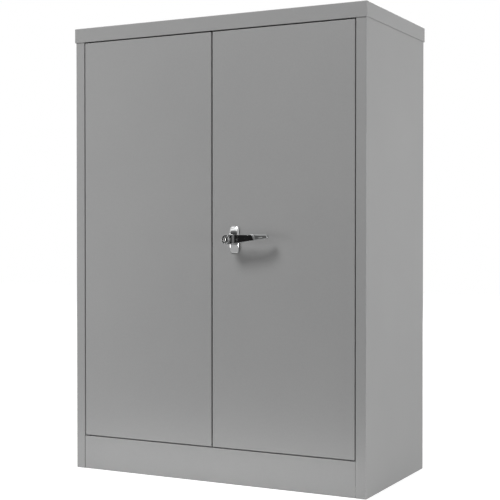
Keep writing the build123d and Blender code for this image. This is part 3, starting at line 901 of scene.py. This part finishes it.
spotSettings = {
    "radius": 0.0027,
    "rim": 0.00014,
    "profile": [(1.0, -1.0), (0.88, 1.0), (0.70, 1.0), (0.50, 0.2)],   # shares of the radius and of the rim
    "around": 12,
    "spots": 11,
    "margin": 0.045,            # end of a flange to its first spot
    "rearFlange": 0.0095,       # from the side of the cabinet
    "uprightFlange": (0.0012, 0.005),    # face from the side web, spot from the edge
    "stiffenerFlange": (0.001, 0.010),   # face from the door's skin, spot from the edge
}


# mark of a spot weld: a low rim round a shallow dish, its foot just inside the sheet
def spotRings(settings):
    angle = np.linspace(0, 2 * np.pi, settings["around"], endpoint=False)[None, :]
    shares = np.array(settings["profile"])[:, :, None]
    radius = settings["radius"] * shares[:, 0]
    height = settings["rim"] * shares[:, 1]
    return np.stack([radius * np.cos(angle), radius * np.sin(angle), height + 0 * angle], axis=-1)


# row of spots up a flange, evenly spaced between its ends
def spotRow(x, y, low, high, settings):
    z = np.linspace(low[2] + settings["margin"], high[2] - settings["margin"], settings["spots"])
    return np.stack([np.full_like(z, x), np.full_like(z, y), z], axis=-1)


# spots on the back of the cabinet, on the uprights of each side and on the stiffener of each door
def makeSpots(settings):
    rings = spotRings(settings)
    toBack = [(1, 0, 0), (0, 0, -1), (0, 1, 0)]
    inward = {"left": [(0, 1, 0), (0, 0, 1), (1, 0, 0)], "right": [(0, -1, 0), (0, 0, 1), (-1, 0, 0)]}
    low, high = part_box("side_panel_right")
    flange = high[0] - settings["rearFlange"]
    rows = [spotRow(x, high[1], low, high, settings) for x in (-flange, flange)]
    yield stampShape("rearFlangeSpots", rings, np.concatenate(rows), toBack), "cabinet"
    for side, axes in inward.items():
        face, edge = settings["uprightFlange"]
        rows = []
        for place in ("front", "rear"):
            low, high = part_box(f"upright_{place}_{side}")
            x = low[0] + face if side == "left" else high[0] - face
            rows += [spotRow(x, y, low, high, settings) for y in (low[1] + edge, high[1] - edge)]
        yield stampShape(side + "UprightSpots", rings, np.concatenate(rows), axes), "cabinet"
        face, edge = settings["stiffenerFlange"]
        low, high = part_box("door_stiffener_" + side)
        rows = [spotRow(x, low[1] + face, low, high, settings) for x in (low[0] + edge, high[0] - edge)]
        yield stampShape(side + "DoorSpots", rings, np.concatenate(rows), toBack), "door_" + side


for piece, bodyName in makeSpots(spotSettings):
    finishPiece(piece, bodyName, "grey_powder_coat")

beadSettings = {
    "length": 0.0085,
    "width": 0.0017,
    "height": 0.0006,
    "corner": 0.0095,      # corner of the door to the middle of the bead
    "ripples": 5,
    "swell": 0.10,
    "end": 0.02,
    "rings": 31,
    "around": 16,
}


# short weld bead: a half-sunk spindle, girth = root of (1 - (2 * share - 1) ** 2) * (1 + swell * cosine of
# the ripples)
def beadRings(settings):
    share = np.linspace(settings["end"], 1 - settings["end"], settings["rings"])[:, None]
    angle = np.linspace(0, 2 * np.pi, settings["around"], endpoint=False)[None, :]
    ripple = 1 + settings["swell"] * np.cos(2 * np.pi * settings["ripples"] * share)
    girth = np.sqrt(1 - (2 * share - 1) ** 2) * ripple
    u = (share - 0.5) * settings["length"] + 0 * angle
    v = girth * settings["width"] * np.cos(angle)
    n = girth * settings["height"] * np.sin(angle)
    return np.stack([u, v, n], axis=-1)


# one bead at each corner of a door pan, along the mitre between its two returns
def makeBeads(side, settings):
    low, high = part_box("door_skin_" + side)
    inward = settings["corner"]
    level = math.sqrt(0.5)
    for label, diagonal in (("Rising", 1), ("Falling", -1)):
        across = (low[0] + inward, high[0] - inward)
        up = (low[2] + inward, high[2] - inward)[::diagonal]
        places = [(x, high[1], z) for x, z in zip(across, up)]
        axes = [(level, 0, diagonal * level), (level, 0, -diagonal * level), (0, 1, 0)]
        yield stampShape(side + "DoorBeads" + label, beadRings(settings), places, axes)


for side in ("left", "right"):
    for piece in makeBeads(side, beadSettings):
        finishPiece(piece, "door_" + side, "grey_powder_coat")
print("welds built")


# 1 for a ray that left metal or glass
def shineRay(tree, path):
    return compute(tree, "MAXIMUM", path["Is Glossy Ray"], path["Is Transmission Ray"])


floorSettings = {
    "half": 9.0,
    "points": 3,         # along each side
    "level": -0.0004,
    "tone": 0.40,
    "roughness": 0.9,
    "gloss": 0.1,
    "lift": 0.90,        # glow that only the camera sees
    "mirrored": 0.62,    # plain glow that only metal and glass see
}


# matte floor; the camera sees it lifted to white under its shadow, polished metal sees one plain level
def makeFloor(settings):
    span = np.linspace(-settings["half"], settings["half"], settings["points"])
    x, y = np.meshgrid(span, span, indexing="ij")
    points = np.stack([x, y, np.full_like(x, settings["level"])], axis=-1)
    floor = addMesh("paleFloor", points, gridFaces(*x.shape))
    material, tree, shader = newMaterial("floorWhite")
    shader.inputs["Base Color"].default_value = (settings["tone"],) * 3 + (1,)
    shader.inputs["Roughness"].default_value = settings["roughness"]
    shader.inputs["Specular IOR Level"].default_value = settings["gloss"]
    path = addNode(tree, "LightPath").outputs
    lift = compute(tree, "MULTIPLY", path["Is Camera Ray"], settings["lift"])
    glow = addNode(tree, "Emission", {"Strength": lift}).outputs[0]
    lit = addNode(tree, "AddShader", {0: shader.outputs[0], 1: glow}).outputs[0]
    plain = addNode(tree, "Emission", {"Strength": settings["mirrored"]}).outputs[0]
    total = addNode(tree, "MixShader", {0: shineRay(tree, path), 1: lit, 2: plain}).outputs[0]
    tree.links.new(total, tree.nodes["Material Output"].inputs["Surface"])
    floor.data.materials.append(material)
    floor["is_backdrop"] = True


# studio cards that only polished metal sees: span in x, and steps of (height, glow) from the floor up
cardSettings = {
    "distance": -5.0,
    "cards": {
        "leftCard": {
            "span": (-4.6, -1.6),
            "glow": [(0.0, 0.014), (1.1, 0.02), (1.45, 0.11), (1.88, 0.44), (2.2, 1.0),
                     (2.6, 1.6), (3.4, 1.6)],
        },
        "middleCard": {
            "span": (-1.6, 0.45),
            "glow": [(0.0, 0.10), (0.5, 0.22), (1.4, 0.26), (1.83, 0.50), (2.1, 1.05),
                     (2.5, 1.6), (3.4, 1.6)],
        },
        "rightCard": {
            "span": (0.45, 2.6),
            "glow": [(0.0, 0.12), (2.1, 0.14), (2.8, 0.45), (3.4, 1.0)],
        },
    },
    "hiddenFrom": ("camera", "diffuse", "shadow", "transmission"),
}


# upright cards in a row; the glow goes in straight lines between the given heights
def makeCard(name, card, settings):
    top = card["glow"][-1][0]
    x, z = np.meshgrid(card["span"], (0.0, top), indexing="ij")
    points = np.stack([x, np.full_like(x, settings["distance"]), z], axis=-1)
    piece = addMesh(name, points, gridFaces(*x.shape))
    material, tree = newMaterial(name + "Glow")[:2]
    place = addNode(tree, "SeparateXYZ", {0: objectPlace(tree)}).outputs
    ramp = addNode(tree, "ValToRGB", {"Fac": compute(tree, "DIVIDE", place["Z"], top)})
    steps = ramp.color_ramp.elements
    for level, glow in card["glow"][1:-1]:
        steps.new(level / top)
    for step, (level, glow) in zip(steps, card["glow"]):
        step.color = (glow, glow, glow, 1)
    light = addNode(tree, "Emission", {"Strength": ramp.outputs["Color"]}).outputs[0]
    tree.links.new(light, tree.nodes["Material Output"].inputs["Surface"])
    piece.data.materials.append(material)
    for ray in settings["hiddenFrom"]:
        setattr(piece, "visible_" + ray, False)
    piece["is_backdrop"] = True


lightSettings = {
    "world": 0.14,
    "lamps": {
        "key": {"place": (-2.43, -5.65, 7.40), "aim": (0.0, 0.0, 0.6), "size": (3.0, 3.0), "watts": 580},
        "side": {"place": (4.8, -0.1, 0.42), "aim": (0.4, 0.0, 0.4), "size": (2.0, 0.8), "watts": 134},
        "left": {"place": (-2.4, -1.9, 0.5), "aim": (-0.1, -0.1, 0.4), "size": (1.0, 1.0), "watts": 17},
        "low": {"place": (0.0, -0.33, 0.012), "aim": (0.0, -0.2, 0.09), "size": (1.0, 0.03), "watts": 0.32},
        "back": {"place": (-1.0, 5.5, 3.2), "aim": (0.0, 0.2, 0.6), "size": (2.4, 2.4), "watts": 300},
    },
}


# rectangular lamp facing the point it is aimed at: tipped up from straight down by the angle whose tangent
# is the level distance over the drop, then turned about Z
def makeLamp(name, settings):
    data = bpy.data.lights.new(name + "Lamp", "AREA")
    data.shape = "RECTANGLE"
    data.size, data.size_y = settings["size"]
    data.energy = settings["watts"]
    lamp = bpy.data.objects.new(name + "Lamp", data)
    lamp.location = settings["place"]
    x, y, z = np.array(settings["aim"]) - np.array(settings["place"])
    lamp.rotation_euler = (math.atan2(math.hypot(x, y), -z), 0, math.atan2(y, x) - math.pi / 2)
    lamp.visible_camera = False
    scene.collection.objects.link(lamp)


# world: a plain level for the light that falls on the object, white for the camera, metal and glass
def makeWorld(level):
    world = bpy.data.worlds.new("studio")
    world.use_nodes = True
    tree = world.node_tree
    background = tree.nodes["Background"].inputs
    background["Color"].default_value = (1, 1, 1, 1)
    path = addNode(tree, "LightPath").outputs
    seen = compute(tree, "MAXIMUM", path["Is Camera Ray"], shineRay(tree, path))
    tree.links.new(mapRange(tree, seen, after=(level, 1.0)), background["Strength"])
    scene.world = world


makeFloor(floorSettings)
for name, card in cardSettings["cards"].items():
    makeCard(name, card, cardSettings)
for name, lamp in lightSettings["lamps"].items():
    makeLamp(name, lamp)
makeWorld(lightSettings["world"])
scene.view_settings.view_transform = "Standard"
print("floor and light ready")

{"cad": cadBox, "visual": boxAsLists()}
